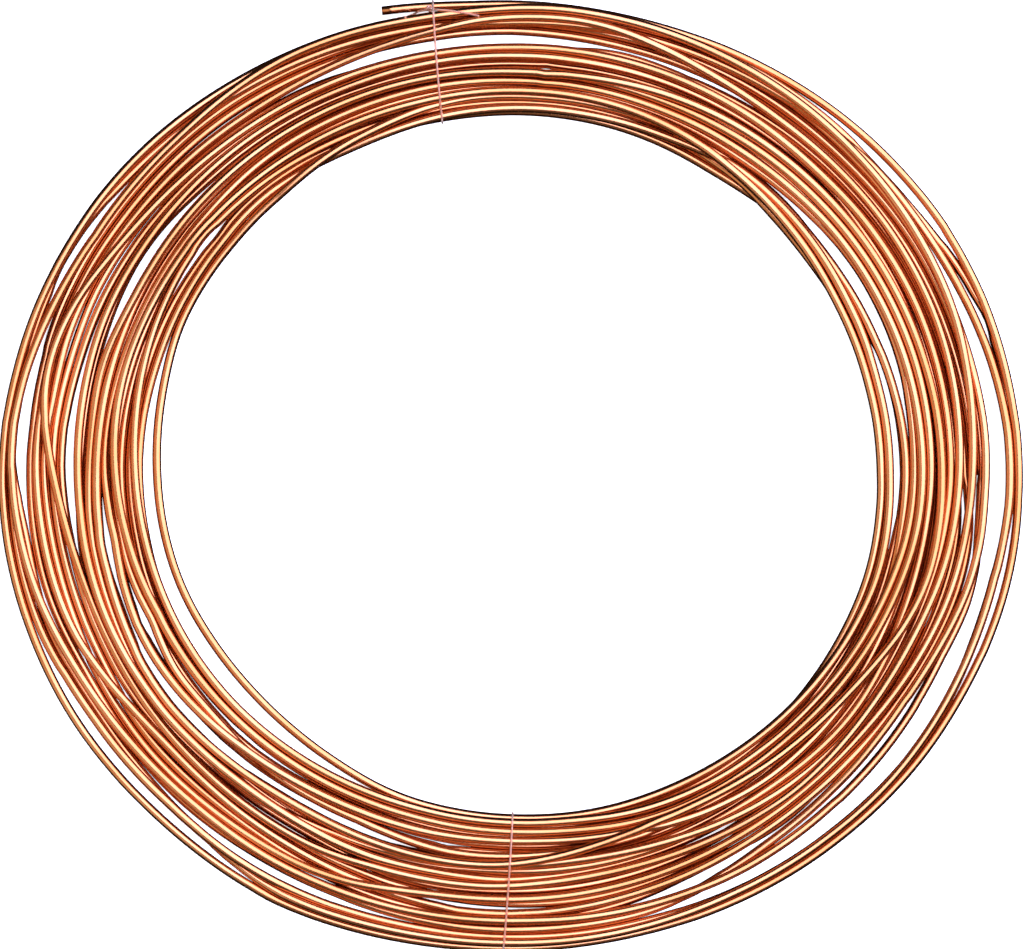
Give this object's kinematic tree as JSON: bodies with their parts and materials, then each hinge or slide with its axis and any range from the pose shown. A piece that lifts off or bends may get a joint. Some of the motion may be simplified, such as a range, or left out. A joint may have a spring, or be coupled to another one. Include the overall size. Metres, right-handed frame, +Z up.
{
  "type": "coil of bare copper wire",
  "caption": "Flat, loose hand-wound coil of bare round copper wire, held by thin clear nylon ties, with its cut end lying free on the outer edge.",
  "frame": {"origin": "on the level surface that the coil lies on, under the middle of the coil", "axes": "+Z up, along the coil's axis; +X along the coil's longest width, across the ties; +Y towards the tie beside the wire's cut end"},
  "size_m": [0.1132, 0.1053, 0.0033],
  "materials": {
    "bare_copper": "bright bare drawn copper, lightly warmed to orange, with deeper red in the shaded turns",
    "nylon_line": "clear smooth nylon line"
  },
  "bodies": {
    "root": {"wire_coil": "bare_copper", "nylon_tie_by_end": "nylon_line", "nylon_tie_opposite": "nylon_line"}
  },
  "joints": []
}
